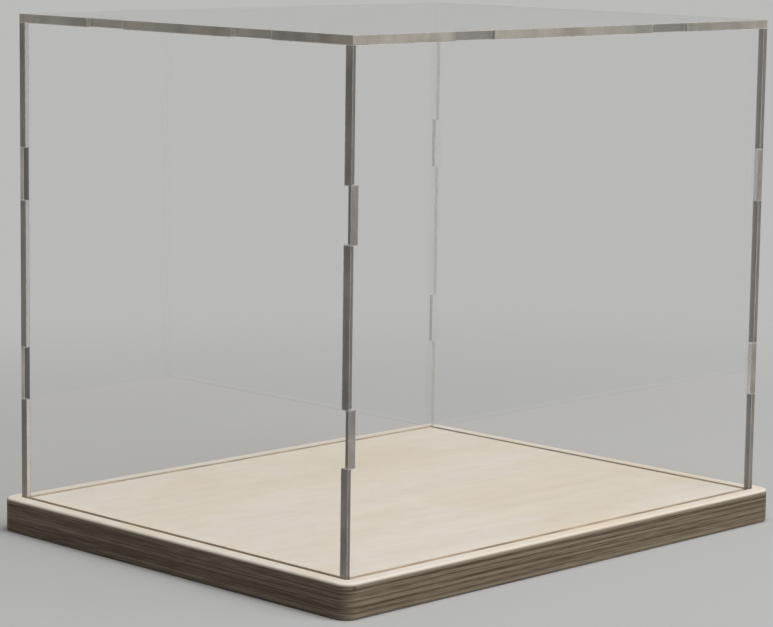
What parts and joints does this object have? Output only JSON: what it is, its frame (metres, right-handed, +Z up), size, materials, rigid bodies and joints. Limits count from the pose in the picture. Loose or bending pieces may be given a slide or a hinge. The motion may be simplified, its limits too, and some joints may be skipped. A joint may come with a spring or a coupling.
{
  "type": "display cover",
  "caption": "Clear box cover of interlocking flat sheets that stands in a groove in a rimmed plywood base and lifts straight off it.",
  "frame": {"origin": "centre of the base's underside", "axes": "+X to the right along the front, +Y from the front to the back, +Z up"},
  "size_m": [0.2184, 0.1754, 0.183],
  "materials": {
    "plywood": "pale birch-like face veneer, sanded and unvarnished, with fine darker plies on the edge",
    "clear_sheet": "clear cast acrylic sheet, polished faces, laser-cut edges with a faint satin sheen"
  },
  "bodies": {
    "base": {"base_board": "plywood"},
    "cover": {"front_panel": "clear_sheet", "back_panel": "clear_sheet", "left_panel": "clear_sheet", "right_panel": "clear_sheet", "top_panel": "clear_sheet"}
  },
  "joints": [
    {"name": "cover_lift", "type": "slide", "parent": "base", "child": "cover", "axis": [0, 0, 1], "range_m": [0, 0.19]}
  ]
}
